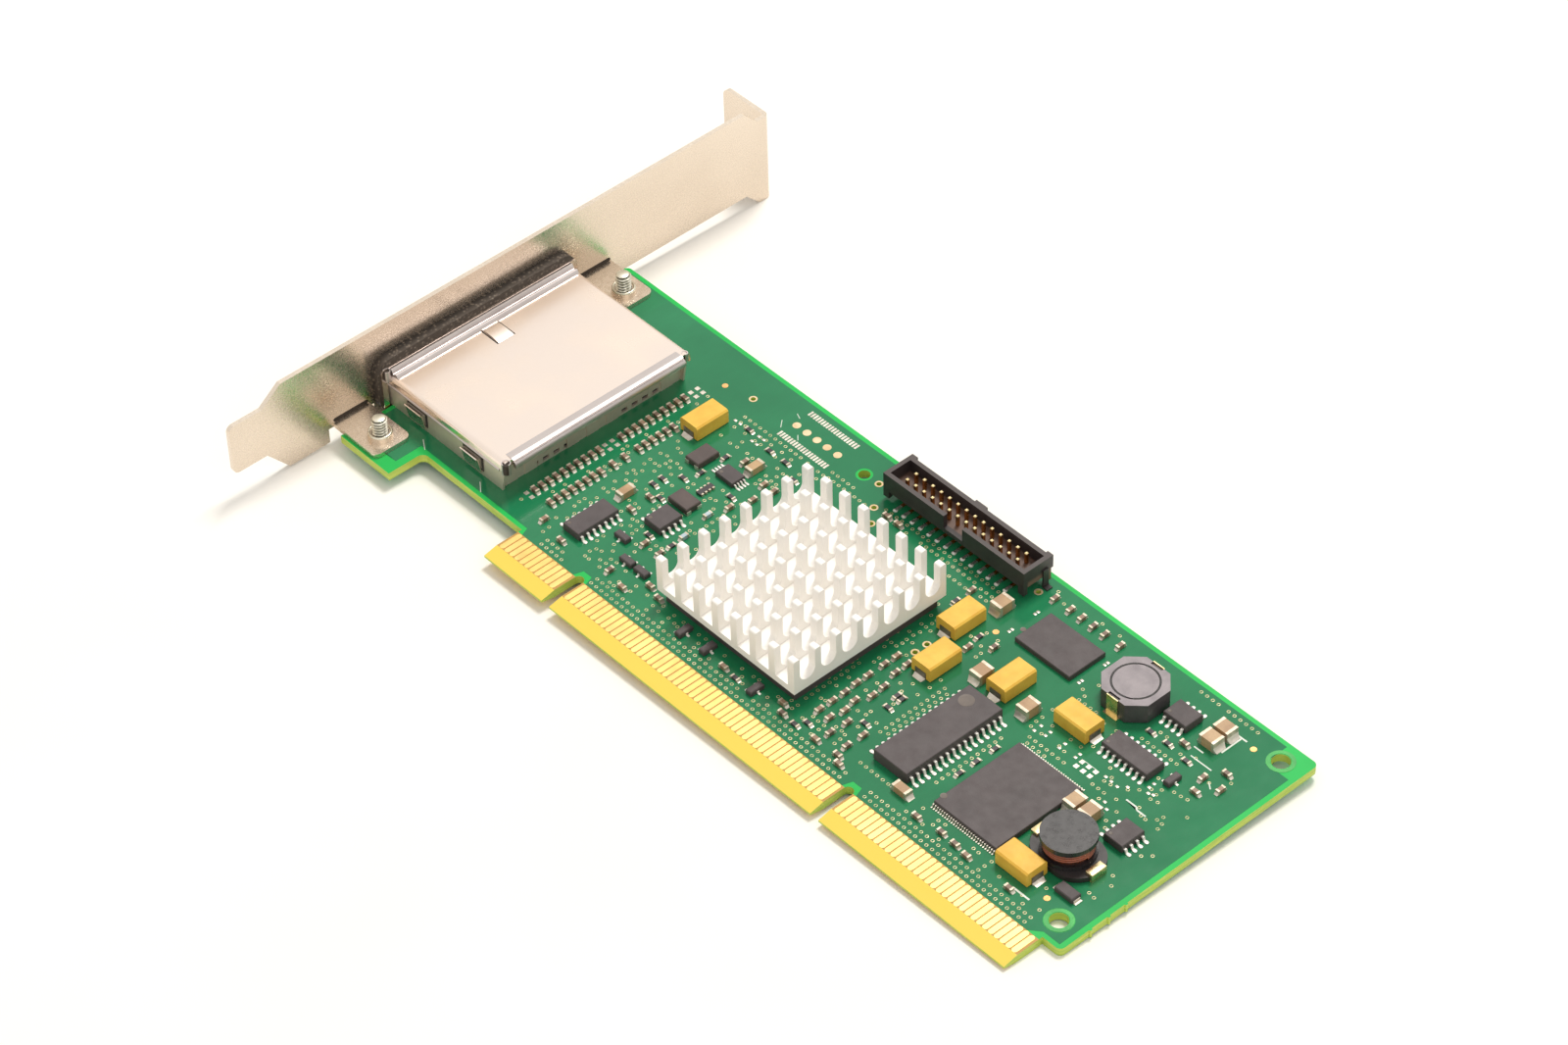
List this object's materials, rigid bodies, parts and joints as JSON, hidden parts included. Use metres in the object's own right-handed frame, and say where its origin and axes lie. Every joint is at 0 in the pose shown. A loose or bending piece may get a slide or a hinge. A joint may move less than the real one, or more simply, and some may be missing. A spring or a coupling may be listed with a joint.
{
  "type": "storage adapter card",
  "caption": "Server storage adapter card with a slotted metal bracket, shielded cable ports, an edge connector, a pin-fin heatsink and a boxed pin header",
  "frame": {"origin": "the middle of the footprint, at the lowest point of the shifted bracket end", "axes": "+X runs along the board from the bracket to the far end, +Y from the edge connector to the opposite edge, +Z out of the component side"},
  "size_m": [0.1794, 0.12, 0.0214],
  "materials": {
    "board": "glass-fibre laminate under green solder lacquer",
    "gold": "gold plating",
    "tinned_copper": "tin plating",
    "bracket_plate": "nickel-plated sheet steel",
    "screw_steel": "zinc-plated steel",
    "cage_plate": "bright nickel-plated sheet",
    "gasket_foam": "conductive foam",
    "black_plastic": "moulded glass-filled plastic",
    "chip_plastic": "moulded epoxy",
    "thermal_pad": "soft heat-conducting sheet",
    "heatsink_metal": "clear-anodised extrusion",
    "tantalum_yellow": "moulded epoxy",
    "ferrite": "ground ferrite",
    "brass_strip": "plated brass strip",
    "copper_wire": "enamelled copper wire",
    "oscillator_plastic": "moulded epoxy",
    "capacitor_ceramic": "fired ceramic",
    "resistor_film": "glass-coated ceramic",
    "bead_ceramic": "pale ceramic"
  },
  "bodies": {
    "root": {"circuit_board": "board", "edge_contacts_top": "gold", "edge_contacts_bottom": "gold", "footprint_pads": "tinned_copper", "plated_rings": "tinned_copper", "mounting_bracket": "bracket_plate", "bracket_screws": "screw_steel", "port_cage_cover": "cage_plate", "port_cage_base": "cage_plate", "port_gasket": "gasket_foam", "port_inserts": "black_plastic", "port_contacts": "gold", "controller_chip": "chip_plastic", "thermal_pad": "thermal_pad", "heatsink": "heatsink_metal", "header_shell": "black_plastic", "header_pins": "gold", "header_hold_downs": "black_plastic", "tantalum_bodies": "tantalum_yellow", "tantalum_terminals": "tinned_copper", "shielded_inductor": "ferrite", "shielded_inductor_terminals": "brass_strip", "drum_inductor_base": "black_plastic", "drum_inductor_spool": "ferrite", "drum_inductor_winding": "copper_wire", "drum_inductor_terminals": "brass_strip", "small_outline_bodies": "chip_plastic", "small_outline_leads": "tinned_copper", "thin_eight_lead_bodies": "chip_plastic", "thin_eight_lead_leads": "tinned_copper", "static_memory_bodies": "chip_plastic", "static_memory_leads": "tinned_copper", "flash_memory_bodies": "chip_plastic", "flash_memory_leads": "tinned_copper", "transistor_bodies": "chip_plastic", "transistor_leads": "tinned_copper", "diode_body": "chip_plastic", "diode_terminals": "tinned_copper", "memory_chip": "chip_plastic", "oscillator_bodies": "oscillator_plastic", "oscillator_contacts": "tinned_copper", "small_capacitor_bodies": "capacitor_ceramic", "small_capacitor_ends": "tinned_copper", "medium_capacitor_bodies": "capacitor_ceramic", "medium_capacitor_ends": "tinned_copper", "large_capacitor_bodies": "capacitor_ceramic", "large_capacitor_ends": "tinned_copper", "resistor_bodies": "resistor_film", "resistor_ends": "tinned_copper", "ferrite_bead_bodies": "bead_ceramic", "ferrite_bead_ends": "tinned_copper", "resistor_array_body": "resistor_film", "resistor_array_ends": "tinned_copper"}
  },
  "joints": []
}
